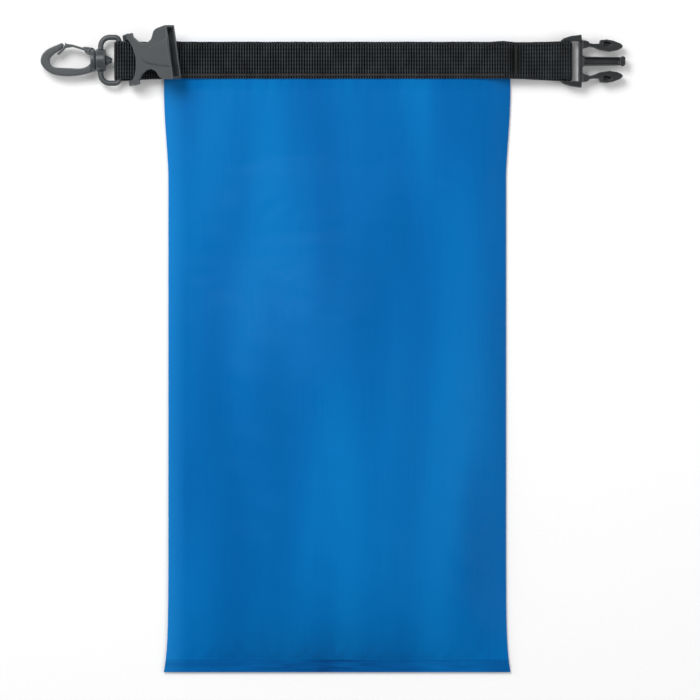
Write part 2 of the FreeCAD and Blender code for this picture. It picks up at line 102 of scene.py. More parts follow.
class Nodes:
    """A short way to build a material's node tree."""

    def __init__(self, name, roughness, specular=None):
        self.material = bpy.data.materials.new(name)
        self.material.use_nodes = True
        self.tree = self.material.node_tree
        self.shader = self.tree.nodes["Principled BSDF"]
        self.shader.inputs["Roughness"].default_value = roughness
        if specular is not None:
            self.shader.inputs["Specular IOR Level"].default_value = specular

    def add(self, kind, inputs=None, **settings):
        node = self.tree.nodes.new("ShaderNode" + kind)
        for key, value in settings.items():
            setattr(node, key, value)
        for key, value in (inputs or {}).items():
            self.feed(node.inputs[key], value)
        return node

    def feed(self, socket, value):
        """Links a socket to another node's output, or sets its value."""
        if isinstance(value, bpy.types.NodeSocket):
            self.tree.links.new(value, socket)
        else:
            socket.default_value = value

    def colour(self, value):
        self.feed(self.shader.inputs["Base Color"], value)

    def roughness(self, value):
        self.feed(self.shader.inputs["Roughness"], value)

    def math(self, operation, a, b=0.0):
        return self.add("Math", {0: a, 1: b}, operation=operation).outputs[0]

    def noise(self, vector, scale, detail=2.0):
        node = self.add("TexNoise", {"Vector": vector, "Scale": scale, "Detail": detail})
        return node.outputs["Fac"]

    def ramp(self, factor, *stops):
        """Colours along a value; each stop is its place and its RGB."""
        node = self.add("ValToRGB", {"Fac": factor})
        elements = node.color_ramp.elements
        while len(elements) < len(stops):
            elements.new(0.5)
        for element, (place, colour) in zip(elements, stops):
            element.position = place
            element.color = (*colour, 1)
        return node.outputs["Color"]

    def mix(self, factor, a, b):
        """Colour a, turning to the fixed RGB b as the factor goes to 1."""
        node = self.add("Mix", data_type="RGBA")
        self.feed(node.inputs["Factor"], factor)
        self.feed(node.inputs[6], a)
        self.feed(node.inputs[7], (*b, 1))
        return node.outputs[2]

    def span(self, value, low, high, to_low, to_high):
        """Carries a value from one range to another, held at the ends."""
        limits = {"From Min": low, "From Max": high, "To Min": to_low, "To Max": to_high}
        return self.add("MapRange", {"Value": value, **limits}).outputs[0]

    def blend_values(self, *shares):
        """The sum of values, each times its share."""
        total = 0.0
        for value, share in shares:
            node = self.add("Math", {0: value, 1: share, 2: total}, operation="MULTIPLY_ADD")
            total = node.outputs[0]
        return total

    def stretch(self, vector, *scale):
        return self.add("Mapping", {"Vector": vector, "Scale": scale}).outputs[0]

    def bump(self, height, strength, distance):
        node = self.add("Bump", {"Height": height, "Strength": strength, "Distance": distance})
        self.feed(self.shader.inputs["Normal"], node.outputs[0])

    def uv(self):
        return self.add("UVMap", uv_map="cloth").outputs[0]

    def place(self):
        return self.add("TexCoord").outputs["Object"]


# ------------------------------------------------------------------ materials


WARP_PITCH, WEFT_PITCH = 0.62, 0.55          # mm, of the fabric's weave
FABRIC_BLUES = (
    (0.34, (0.0001, 0.106, 0.345)),
    (0.47, (0.0002, 0.125, 0.390)),
    (0.62, (0.0010, 0.156, 0.450)),
)
BLUE_PAINTED_HIGHLIGHT = (0.012, 0.215, 0.560)
BLUE_PAINTED_WELD_SHADE = (0.0006, 0.045, 0.180)
PAINTED_HIGHLIGHT_BAND = (-91.5, -82.5)                   # mm in X, a painted highlight along the left seam, where light from the left falls on the slope
WELD_FADE = (WELD_TOP - 0.5, WELD_TOP + 0.3) # mm in Y, where the painted shade on the weld fades out
PUCKER_REACH = 14.0                          # mm below the strap where the light and shade of its stitching's puckers are painted


def coated_fabric():
    """Blue polyester with a smooth coating: fine weave, soft streaks and faint scuffs, plus
    painted
    light: a highlight along the left seam, shade on the weld, light and shade on puckers.

    Its UV map is the flat cloth, in the frame's X and Y, so the weave follows the folds.
    """
    t = Nodes("coated_fabric", 0.42, specular=0.04)
    uv = t.uv()
    across, along = t.add("SeparateXYZ", {0: uv}).outputs[:2]
    warp = t.math("SINE", t.math("MULTIPLY", across, 2 * math.pi / (WARP_PITCH * MM)))
    weft = t.math("SINE", t.math("MULTIPLY", along, 2 * math.pi / (WEFT_PITCH * MM)))
    weave = t.math("MULTIPLY", warp, weft)
    streak = t.noise(t.stretch(uv, 1900.0, 22.0, 1.0), 1.0, 3.0)
    cloud = t.noise(t.stretch(uv, 24.0, 5.0, 1.0), 1.0, 1.0)
    strap_edge = STRAP_LOW[1]
    near_strap = t.span(along, (strap_edge - PUCKER_REACH) * MM, strap_edge * MM, 0.0, 0.22)
    pucker = t.noise(t.stretch(uv, 240.0, 26.0, 1.0), 1.0, 2.0)
    # painted light and shade of the puckers the stitching gathers below the strap
    painted_pucker_light = t.math("MULTIPLY", near_strap, t.math("SUBTRACT", pucker, 0.5))
    even = t.blend_values((streak, 0.14), (cloud, 0.80), (weave, 0.05))
    main = t.ramp(t.math("ADD", even, painted_pucker_light), *FABRIC_BLUES)
    # painted highlight: the left seam's slope is paler, as light from the left falls on it
    painted_highlight = t.span(across, PAINTED_HIGHLIGHT_BAND[0] * MM, PAINTED_HIGHLIGHT_BAND[1] * MM, 0.5, 0.0)
    cloth = t.mix(painted_highlight, main, BLUE_PAINTED_HIGHLIGHT)
    # painted shade on the welded strip, of its puckers and creases: darkest in the middle,
    # blotched
    welded = t.span(along, WELD_FADE[0] * MM, WELD_FADE[1] * MM, 0.42, 0.0)
    crumple = t.noise(t.stretch(uv, 50.0, 420.0, 1.0), 1.0, 2.0)
    middle = t.span(t.math("ABSOLUTE", across), 0.004, 0.055, 1.7, 0.9)
    weld_shade_reach = t.math("MULTIPLY", welded, middle)
    painted_weld_shade = t.math("MULTIPLY", weld_shade_reach, t.span(crumple, 0.35, 0.65, 0.6, 1.3))
    t.colour(t.mix(painted_weld_shade, cloth, BLUE_PAINTED_WELD_SHADE))
    scuff = t.noise(uv, 240.0, 4.0)
    t.roughness(t.span(scuff, 0.35, 0.7, 0.36, 0.5))
    t.bump(t.blend_values((weave, 0.35), (streak, 0.5)), 0.10, 0.0001)
    return t.material


# from painted shade in the rib valleys to a painted highlight on the crests, with the fibres'
# random tone
WEBBING_BLACKS_AND_RIB_SHADE = (
    (0.40, (0.0003, 0.0004, 0.0006)),
    (0.66, (0.0045, 0.0058, 0.0070)),
    (0.98, (0.050, 0.059, 0.066)),
)
# painted shade of the strap's fold where a bar tack pulls it down
BLACK_PAINTED_FOLD_SHADE = (0.0008, 0.0009, 0.0011)
TACK_RUN = STRAP_BEND + 1.6                  # mm along the strap from its middle to a bar tack


def webbing_material():
    """Black polypropylene webbing: the ribs and crossings are real, the fibres are bump; painted
    shade darkens the rib valleys, crossings and bar-tack folds, a painted highlight the crests.

    Its UV map runs along the strap from its middle and then across it, with a rib at each
    whole pitch.
    """
    t = Nodes("webbing", 0.5, specular=0.11)
    uv = t.uv()
    along, across = t.add("SeparateXYZ", {0: uv}).outputs[:2]
    ribs = t.math("COSINE", t.math("MULTIPLY", along, math.pi / (RIB_PITCH * MM)))
    rib = t.math("ABSOLUTE", ribs)
    knot = t.math("SINE", t.math("MULTIPLY", across, 2 * math.pi / (KNOT_PITCH * MM)))
    fibre = t.noise(t.stretch(uv, 1500.0, 5200.0, 1.0), 1.0, 3.0)
    uneven = t.noise(t.stretch(uv, 160.0, 90.0, 1.0), 1.0, 2.0)
    # ribs and crossings feed the colour as painted shade and highlight, fibre and uneven as random
    # tone
    level = t.blend_values((rib, 0.52), (knot, 0.07), (fibre, 0.32), (uneven, 0.30))
    run = t.math("ABSOLUTE", along)
    off_tack = t.math("ABSOLUTE", t.math("SUBTRACT", run, TACK_RUN * MM))
    near_tack = t.span(off_tack, 0.001, 0.005, 1, 0)
    inner = t.span(t.math("ABSOLUTE", across), 0.005, 0.0095, 1, 0)
    # painted shade of the fold at each bar tack
    painted_fold_shade = t.math("MULTIPLY", near_tack, inner)
    t.colour(t.mix(painted_fold_shade, t.ramp(level, *WEBBING_BLACKS_AND_RIB_SHADE), BLACK_PAINTED_FOLD_SHADE))
    t.roughness(t.span(fibre, 0.3, 0.7, 0.45, 0.62))
    t.bump(level, 0.6, 0.0003)
    return t.material


def plastic(name, base, light, roughness):
    """Moulded acetal: a fine grain, flow marks, a painted highlight on convex edges and painted
    shade in concave corners.
    """
    t = Nodes(name, roughness)
    place = t.place()
    grain = t.noise(place, 5200.0, 3.0)
    flow = t.noise(t.stretch(place, 60.0, 220.0, 60.0), 1.0, 2.0)
    edge = t.add("NewGeometry").outputs["Pointiness"]
    # painted highlight on convex edges, painted shade in concave corners
    painted_edge_highlight = t.span(edge, 0.505, 0.56, 0.0, 0.75)
    painted_corner_shade = t.span(edge, 0.45, 0.495, 0.75, 0.0)
    tone = t.blend_values((flow, 0.55), (grain, 0.35))
    body = t.mix(tone, (*base, 1), light)
    edge_lit_body = t.mix(painted_edge_highlight, body, tuple(2.4 * c for c in light))
    t.colour(t.mix(painted_corner_shade, edge_lit_body, tuple(0.25 * c for c in base)))
    t.roughness(t.span(flow, 0.3, 0.7, roughness - 0.05, roughness + 0.08))
    t.bump(grain, 0.12, 0.00012)
    return t.material


def thread_material(name, dark, light):
    """Twisted polyester thread."""
    t = Nodes(name, 0.55)
    wave = {"Vector": t.place(), "Scale": 900.0, "Distortion": 1.0}
    twist = t.add("TexWave", wave, bands_direction="DIAGONAL").outputs["Fac"]
    t.colour(t.ramp(twist, (0.2, dark), (0.8, light)))
    t.bump(twist, 0.4, 0.0001)
    return t.material


def tape_material():
    """Heat-sealed seam tape: milky film with a pressed dimple grid."""
    t = Nodes("seam_tape", 0.35)
    dimple = t.add("TexVoronoi", {"Vector": t.place(), "Scale": 700.0}).outputs["Distance"]
    t.colour(t.ramp(dimple, (0.0, (0.30, 0.42, 0.55)), (1.0, (0.50, 0.62, 0.72))))
    t.bump(dimple, 0.3, 0.0001)
    return t.material


def stiffener_material():
    """Extruded plastic strip, with fine lines along it."""
    t = Nodes("stiffener", 0.5)
    line = t.noise(t.stretch(t.place(), 30.0, 1800.0, 30.0), 1.0, 2.0)
    t.colour(t.ramp(line, (0.3, (0.48, 0.50, 0.51)), (0.7, (0.66, 0.68, 0.69))))
    t.bump(line, 0.2, 0.0001)
    return t.material


def floor_material():
    """Pale studio paper."""
    t = Nodes("floor_paper", 0.9)
    fibre = t.noise(t.place(), 900.0, 3.0)
    t.colour(t.ramp(fibre, (0.3, (0.90, 0.90, 0.90)), (0.7, (0.93, 0.93, 0.93))))
    return t.material


FABRIC = coated_fabric()
STRAP = webbing_material()
GREY_PLASTIC = plastic("buckle_plastic", (0.021, 0.025, 0.028), (0.046, 0.053, 0.057), 0.35)
DARK_PLASTIC = plastic("dark_plastic", (0.005, 0.0065, 0.0075), (0.014, 0.017, 0.019), 0.27)
DARK_THREAD = thread_material("dark_thread", (0.001, 0.001, 0.0015), (0.007, 0.008, 0.009))
BROWN_THREAD = thread_material("brown_thread", (0.012, 0.008, 0.007), (0.058, 0.036, 0.032))
TAPE = tape_material()
STIFFENER = stiffener_material()

# ------------------------------------------------------------------ mesh helpers


SHARP_ANGLE = math.radians(60)               # edges that turn more than this stay crisp


def add_piece(name, verts, faces, material, body, replaced, uvs=None):
    """A mesh object from points in mm, riding on a body unless that is None."""
    mesh = bpy.data.meshes.new(name)
    mesh.from_pydata([tuple(v) for v in np.asarray(verts, float) * MM], [], faces)
    if uvs is not None:
        layer = mesh.uv_layers.new(name="cloth")
        index = np.zeros(len(mesh.loops), int)
        mesh.loops.foreach_get("vertex_index", index)
        layer.data.foreach_set("uv", (np.asarray(uvs, float)[index] * MM).ravel())
    mesh.materials.append(material)
    mesh.polygons.foreach_set("use_smooth", [True] * len(mesh.polygons))
    mesh.update()
    mesh.set_sharp_from_angle(angle=SHARP_ANGLE)
    piece = bpy.data.objects.new(name, mesh)
    bpy.context.scene.collection.objects.link(piece)
    if body:
        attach(piece, body)
    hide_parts(*replaced)
    return piece


def sheet_mesh(top, thickness):
    """A closed thin sheet from a grid of points (rows, columns, 3) and its thickness.

    The second layer lies below the first along the grid's normals, or above it where the
    thickness is negative, and the caller then turns the faces round.
    """
    rows, cols = top.shape[:2]
    du = np.gradient(top, axis=1)
    dv = np.gradient(top, axis=0)
    normal = np.cross(du, dv)
    normal /= np.linalg.norm(normal, axis=2, keepdims=True) + 1e-12
    under = top - normal * thickness
    verts = np.concatenate([top.reshape(-1, 3), under.reshape(-1, 3)])
    count = rows * cols

    def at(r, c, layer=0):
        return layer * count + r * cols + c

    faces = []
    for r in range(rows - 1):
        for c in range(cols - 1):
            faces.append((at(r, c), at(r, c + 1), at(r + 1, c + 1), at(r + 1, c)))
            faces.append((at(r, c, 1), at(r + 1, c, 1), at(r + 1, c + 1, 1), at(r, c + 1, 1)))
    for r in range(rows - 1):
        for c, order in ((0, 1), (cols - 1, -1)):
            quad = (at(r, c), at(r + 1, c), at(r + 1, c, 1), at(r, c, 1))
            faces.append(quad[::order])
    for c in range(cols - 1):
        for r, order in ((0, -1), (rows - 1, 1)):
            quad = (at(r, c), at(r, c + 1), at(r, c + 1, 1), at(r, c, 1))
            faces.append(quad[::order])
    return verts, faces


def blended_along_x(piece, start, end):
    """Bakes a piece's transform into its mesh; start and end, two places in X in mm, are not used.
    """
    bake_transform(piece)


def ease(a, b, x):
    """0 below a, 1 above b, smooth between."""
    t = np.clip((x - a) / (b - a), 0, 1)
    return t * t * (3 - 2 * t)


def ripples(x, y, waves):
    """A sum of fixed sine waves, for folds that look unplanned but are the same each run."""
    total = 0.0
    for length, angle, phase, size in waves:
        along = x * math.cos(angle) + y * math.sin(angle)
        total = total + size * np.sin(2 * math.pi * along / length + phase)
    return total


# ------------------------------------------------------------------ the bag's cloth

NECK_FRONT = BAND_HIGH[2] - 0.1
NECK_HALF = 94.5                   # half widths of the bag, at its neck and at its waist
WAIST_HALF = 92.1
SEAM_Z = 1.25                      # height of the side seams
WELD_Z = 1.3                       # height of the welded edge's upper face
BACK_Z = 0.02                      # the back's lower face, just off the floor
CROWN = FRONT_TOP - 0.4
FRONT_COLUMNS, BACK_COLUMNS = 121, 61
# waves of length, direction, phase and height, for the ripples below
LONG_FOLDS = ((61.0, 0.03, 0.4, 0.34), (97.0, -0.05, 2.1, 0.42), (38.0, 0.06, 4.0, 0.12))
CREASES = ((23.0, 0.9, 0.3, 0.10), (31.0, -0.7, 1.9, 0.12), (17.0, 1.3, 3.3, 0.05))
PUCKERS = ((7.3, 0.0, 0.2, 0.5), (4.9, 0.25, 1.4, 0.4), (11.7, -0.2, 2.6, 0.5))


def half_width(y):
    """Half the bag's width at a Y: a waist between the neck and the welded bottom."""
    to_neck = (NECK_HALF - WAIST_HALF) * ease(98.0, 146.0, y) ** 0.8
    to_weld = (WELD_HIGH[0] - WAIST_HALF) * np.exp(-(y - BAG_BOTTOM) / 13.0)
    return WAIST_HALF + to_neck + to_weld


def crown_height(y):
    """Height of the front cloth on the bag's middle line."""
    base = 1.5 + (NECK_FRONT - 1.5) * ease(10.0, BAG_FOLD[1] - 4.0, y)
    full = 1 - np.exp(-np.clip(y - WELD_TOP, 0, None) / 21.0)
    fall = 0.5 * (1 + np.cos(math.pi * np.clip((y + 25.0) / (BAG_FOLD[1] + 25.0), 0, 1)))
    return base + (CROWN - base) * full * fall


def front_height(x, y):
    """Height of the front cloth before the simulation: crown, folds and gathers."""
    t = np.clip(np.abs(x) / half_width(y), 0, 1)
    square = 2.3 + 6.0 * ease(40.0, BAG_FOLD[1], y)
    z = SEAM_Z + (crown_height(y) - SEAM_Z) * (1 - t**square)
    inside = ease(0.0, 0.16, 1 - t) * ease(WELD_TOP, WELD_TOP + 22.0, y)
    calm = 1 - 0.75 * ease(85.0, BAG_FOLD[1], y)
    z = z + inside * calm * ripples(x, y, LONG_FOLDS)
    z = z + inside * calm * ripples(x, y, CREASES)
    near_weld = np.exp(-np.abs(y - WELD_TOP - 4.0) / 5.0) * ease(WELD_TOP, WELD_TOP + 3.0, y)
    bunched = 0.45 + 0.75 * np.exp(-(((x + 4.0) / 22.0) ** 2))
    z = z + bunched * near_weld * ripples(x, y, PUCKERS) * ease(0.0, 0.1, 1 - t)
    near_strap = np.exp(-np.abs(STRAP_LOW[1] - y) / 9.0)
    z = z + 0.28 * near_strap * ripples(x, y, PUCKERS) * ease(0.02, 0.2, 1 - t)
    return z


def back_height(x, y):
    """Height of the back cloth: flat, and lifted to meet the seams."""
    t = np.clip(np.abs(x) / half_width(y), 0, 1)
    return BACK_Z + (SEAM_Z - 0.45) * t**10


def columns(count):
    """Places across the bag from -1 to 1, closer together at the seams."""
    a = np.linspace(-1, 1, count)
    return np.sin(a * math.pi / 2) * 0.55 + a * 0.45


SIM_CELL = 3.0             # mm between threads of the simulated cloth
SIM_END_Y = 112.0          # the neck above this keeps its shape, because the strip holds it
CUT_HALF = 94.9            # the panel is cut as a rectangle, wider than the filled bag
CUT_STRETCH = 1.006        # and a little longer than its side seams
FURTHEST = 4.0             # how far the simulation may carry a point
SIM_FRAMES = 24


def simulated(start, cut, free):
    """Where a pinned panel goes when light pressure fills it, as a grid of points in mm."""
    rows, cols = start.shape[:2]
    mesh = bpy.data.meshes.new("panel")
    faces = [
        (r * cols + c, r * cols + c + 1, (r + 1) * cols + c + 1, (r + 1) * cols + c)
        for r in range(rows - 1)
        for c in range(cols - 1)
    ]
    mesh.from_pydata([tuple(v) for v in start.reshape(-1, 3) * MM], [], faces)
    panel = bpy.data.objects.new("panel", mesh)
    bpy.context.scene.collection.objects.link(panel)
    pins = panel.vertex_groups.new(name="seams")
    pins.add([int(i) for i in np.flatnonzero(~free.ravel())], 1.0, "REPLACE")
    panel.shape_key_add(name="filled")
    flat = panel.shape_key_add(name="cut")
    flat.data.foreach_set("co", (cut.reshape(-1, 3) * MM).ravel())
    cloth = panel.modifiers.new("cloth", "CLOTH")
    rules = cloth.settings
    rules.quality = 8
    rules.mass = 0.2
    rules.tension_stiffness = rules.compression_stiffness = 60
    rules.shear_stiffness = 30
    rules.bending_stiffness = 0.4
    rules.tension_damping = rules.compression_damping = rules.shear_damping = 15
    rules.vertex_group_mass = pins.name
    rules.rest_shape_key = flat
    rules.use_pressure = True
    rules.uniform_pressure_force = 3.0
    rules.effector_weights.gravity = 0
    cloth.collision_settings.use_collision = False
    cloth.point_cache.frame_end = SIM_FRAMES
    for step in range(1, SIM_FRAMES + 1):
        bpy.context.scene.frame_set(step)
    graph = bpy.context.evaluated_depsgraph_get()
    settled = panel.evaluated_get(graph).to_mesh()
    co = np.zeros(rows * cols * 3)
    settled.vertices.foreach_get("co", co)
    bpy.data.objects.remove(panel)
    bpy.context.scene.frame_set(1)
    return co.reshape(rows, cols, 3) / MM


def cubic_rows(values, at):
    """Values known on evenly spaced rows, read between them with a smooth cubic."""
    base = np.clip(np.floor(at).astype(int), 0, len(values) - 2)
    t = (at - base)[:, None, None]
    a, b, c, d = (values[np.clip(base + k, 0, len(values) - 1)] for k in (-1, 0, 1, 2))
    return b + 0.5 * t * (c - a + t * (2 * a - 5 * b + 4 * c - d + t * (3 * (b - c) + d - a)))


class Filling:
    """How far the simulated front cloth lies from its plain shape, at any place."""

    def __init__(self):
        count_y = int((SIM_END_Y - WELD_TOP) / SIM_CELL) + 1
        count_x = int(2 * half_width(0.0) / SIM_CELL) + 1
        self.ys = np.linspace(WELD_TOP, SIM_END_Y, count_y)
        self.across = np.linspace(-1, 1, count_x)
        start = np.zeros((count_y, count_x, 3))
        for i, y in enumerate(self.ys):
            x = self.across * half_width(y)
            z = front_height(x, np.full_like(x, y))
            start[i] = np.stack([x, np.full_like(x, y), z], axis=1)
        cut = start.copy()
        cut[:, :, 0] = self.across * CUT_HALF
        cut[:, :, 1] = WELD_TOP + (start[:, :, 1] - WELD_TOP) * CUT_STRETCH
        cut[:, :, 2] = 0
        free = np.zeros((count_y, count_x), bool)
        free[1:-2, 1:-1] = True
        shift = simulated(start, cut, free) - start
        reach = np.linalg.norm(shift, axis=2, keepdims=True)
        self.shift = shift * np.minimum(1, FURTHEST / np.maximum(reach, 1e-9))

    def at(self, across, y):
        """The shift of a row of points at one Y."""
        if not WELD_TOP < y < SIM_END_Y:
            return np.zeros((len(across), 3))
        row = (y - WELD_TOP) / (SIM_END_Y - WELD_TOP) * (len(self.ys) - 1)
        line = cubic_rows(self.shift, np.array([row]))[0]
        column = (across + 1) / 2 * (len(self.across) - 1)
        return cubic_rows(line[:, None, :], column)[:, 0]


def doubled(uv_grid):
    """The UVs of a sheet's two layers, which share one map."""
    return np.concatenate([uv_grid.reshape(-1, 2)] * 2)


def bag_front():
    """The front cloth from the weld to the middle of the roll band."""
    filling = Filling()
    rows = np.concatenate(
        [
            np.linspace(BAG_BOTTOM, WELD_TOP, 5)[:-1],
            np.linspace(WELD_TOP, -140.0, 24)[:-1],
            np.linspace(-140.0, 100.0, 110)[:-1],
            np.linspace(100.0, SPLIT_Y, 24),
        ]
    )
    across = columns(FRONT_COLUMNS)
    grid = np.zeros((len(rows), len(across), 3))
    for i, y in enumerate(rows):
        x = across * half_width(y)
        grid[i, :, 0] = x
        grid[i, :, 1] = y
        if y <= WELD_TOP:
            grid[i, :, 2] = WELD_Z
        else:
            grid[i, :, 2] = front_height(x, np.full_like(x, y))
            grid[i] += filling.at(across, y)
    return *sheet_mesh(grid, CLOTH), doubled(grid[:, :, :2])


def bag_back():
    """The back cloth under it."""
    rows = np.linspace(BAG_BOTTOM, SPLIT_Y, 120)
    across = columns(BACK_COLUMNS)
    grid = np.zeros((len(rows), len(across), 3))
    for i, y in enumerate(rows):
        x = across * half_width(y)
        grid[i] = np.stack([x, np.full_like(x, y), back_height(x, y) + CLOTH], axis=1)
    return *sheet_mesh(grid, CLOTH), doubled(grid[:, :, :2])


HEM_TURN = 1.0                     # mm below the mouth where the cloth starts to turn over


def hem_path(outer, inner):
    """The cloth's YZ line from the roll band over the mouth edge and back down inside.

    A Z of None is where the line follows the bag's own height.
    """
    turn_y = MOUTH - HEM_TURN
    points = [(y, None) for y in np.linspace(SPLIT_Y, turn_y, 34)]
    middle, radius = (outer + inner) / 2, (outer - inner) / 2
    for step in range(1, 8):
        a = math.pi * step / 8
        points.append((turn_y + HEM_TURN * math.sin(a), middle + radius * math.cos(a)))
    return points + [(y, inner) for y in np.linspace(turn_y, STRIP_FOLD[1] + 1.0, 20)]


def pinched(x, z):
    """A height that comes down to the side seams."""
    t = np.clip(np.abs(x) / NECK_HALF, 0, 1)
    return SEAM_Z + (z - SEAM_Z) * (1 - t**12.0)


def neck_sheet(path, count, height, thickness):
    """A neck cloth along a hem path, with its UV map running on round the hem."""
    across = columns(count)
    grid = np.zeros((len(path), count, 3))
    uvs = np.zeros((len(path), count, 2))
    run = 0.0
    for i, (y, z) in enumerate(path):
        x = across * half_width(y)
        grid[i] = np.stack([x, np.full_like(x, y), height(across, x, y, z)], axis=1)
        if i:
            run += float(np.linalg.norm(grid[i, count // 2] - grid[i - 1, count // 2]))
        uvs[i] = np.stack([x, np.full_like(x, SPLIT_Y + run)], axis=1)
    return *sheet_mesh(grid, thickness), doubled(uvs)


def neck_front():
    outer = HEM_HIGH[2] - 0.02

    def height(across, x, y, z):
        if z is not None:
            return pinched(x, z)
        plain = front_height(x, np.full_like(x, y))
        rise = ease(STRIP_FOLD[1] - 6.0, STRIP_FOLD[1] + 0.5, y)
        return plain + (pinched(x, outer) - plain) * rise

    return neck_sheet(hem_path(outer, outer - 1.05), FRONT_COLUMNS, height, CLOTH)


def neck_back():
    def height(across, x, y, z):
        base = back_height(x, np.full_like(x, y))
        return base if z is None else base + (z - BACK_Z) * (1 - np.abs(across) ** 12)

    path = hem_path(BACK_Z, BACK_HEM_HIGH[2] - 0.25)
    verts, faces, uvs = neck_sheet(path, BACK_COLUMNS, height, -CLOTH)
    return verts, [face[::-1] for face in faces], uvs


LOWER_REACH, UPPER_REACH = 10.0, 6.0   # mm of cloth either side of a fold


def make_cloth():
    lower = ("bag", "roll_band", BAG_FOLD, LOWER_REACH)
    upper = ("roll_band", "mouth_strip", STRIP_FOLD, UPPER_REACH)
    plan = (
        ("front_cloth", bag_front(), lower, ("bag_front_panel", "bottom_weld")),
        ("back_cloth", bag_back(), lower, ("bag_back_panel",)),
        ("front_neck_cloth", neck_front(), upper, ("band_front", "mouth_front_hem")),
        ("back_neck_cloth", neck_back(), upper, ("band_back", "mouth_back_hem")),
    )
    for name, (verts, faces, uvs), (a, b, fold, reach), replaced in plan:
        piece = add_piece(name, verts, faces, FABRIC, None, replaced, uvs)
        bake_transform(piece)


make_cloth()

# ------------------------------------------------------------------ webbing


def strap_path(side):
    """Half the strap's middle line in XZ, from the bag's middle over its bar and back.

    It is given on the side of plus X, with the run along it, in mm.
    """
    middle = (STRAP_LOW[2] + STRAP_HIGH[2]) / 2
    if side < 0:
        bar_x, bar_z, outer = -RING_BAR[0], RING_BAR[2], LEFT_LOOP_END
    else:
        bar_x, bar_z, outer = MALE_BAR[0], MALE_BAR[2], RIGHT_LOOP_END
    radius = outer - bar_x - WEBBING / 2
    start = STRAP_BEND
    points = [(0.0, middle), (start - 3.0, middle), (start + 2.5, middle)]
    points += [(start + 6.0, middle + 0.3 * (bar_z + radius - middle))]
    points += [(start + 10.5, bar_z + radius)]
    for step in range(0, 13):
        turn = math.radians(90 - 15 * step)
        points.append((bar_x + radius * math.cos(turn), bar_z + radius * math.sin(turn)))
    returned = middle - WEBBING - 0.25
    points += [(bar_x - 9.0, bar_z - radius), (start + 4.0, returned), (start + 1.2, returned)]
    at, path = resampled(np.array(points), RIB_PITCH / 6)
    # extra rows, so that the two halves' ends are shaded as one crest where they meet
    extra = (0.03, 0.09, 0.16)
    return np.insert(at, 1, extra), np.insert(path, 1, [(run, middle) for run in extra], axis=0)


def resampled(points, step, window=9):
    """Even steps along a path, its corners rounded by a running mean of window rows each way."""
    lengths = np.concatenate([[0], np.cumsum(np.linalg.norm(np.diff(points, axis=0), axis=1))])
    count = int(lengths[-1] / step) + 1
    at = np.linspace(0, lengths[-1], count)
    path = np.stack([np.interp(at, lengths, points[:, k]) for k in range(2)], axis=1)
    beyond = np.arange(1, window + 1)[:, None]
    before = path[0] - beyond[::-1] * (path[1] - path[0])
    after = path[-1] + beyond * (path[-1] - path[-2])
    padded = np.concatenate([before, path, after])
    kernel = np.ones(2 * window + 1) / (2 * window + 1)
    smooth = np.stack([np.convolve(padded[:, k], kernel, "valid") for k in range(2)], axis=1)
    smooth[0], smooth[-1] = path[0], path[-1]
    return at, smooth


def strap_lie(at, path):
    """How the strap lies off its straight course, at each place along it.

    That is its shift along Y, its extra half width and the bar tack's pull on it.
    """
    turn = int(np.argmax(path[:, 0]))
    over = at[turn] - 3.0
    under = at[turn] + 3.0
    leaves = at[int(np.argmax(path[:, 0] > STRAP_BEND))]
    stations = (0, leaves - 12, leaves - 5, leaves + 2, over, under, at[-1])
    shift = np.interp(at, stations, (0, 0, 0.2, -0.35, -0.05, -0.95, -0.1))
    wide = np.interp(at, stations, (0, 0, 0.3, 0, 0.35, 0.2, 0))
    pull = np.exp(-(((at - leaves - 1.4) / 1.7) ** 2))
    return shift, wide, pull


RIB_GROOVE, CROSSING_GROOVE = 0.42, 0.09     # mm deep, between ribs and at the crossings
BEND_REACH = 2.5                             # mm of strap either side of its bend


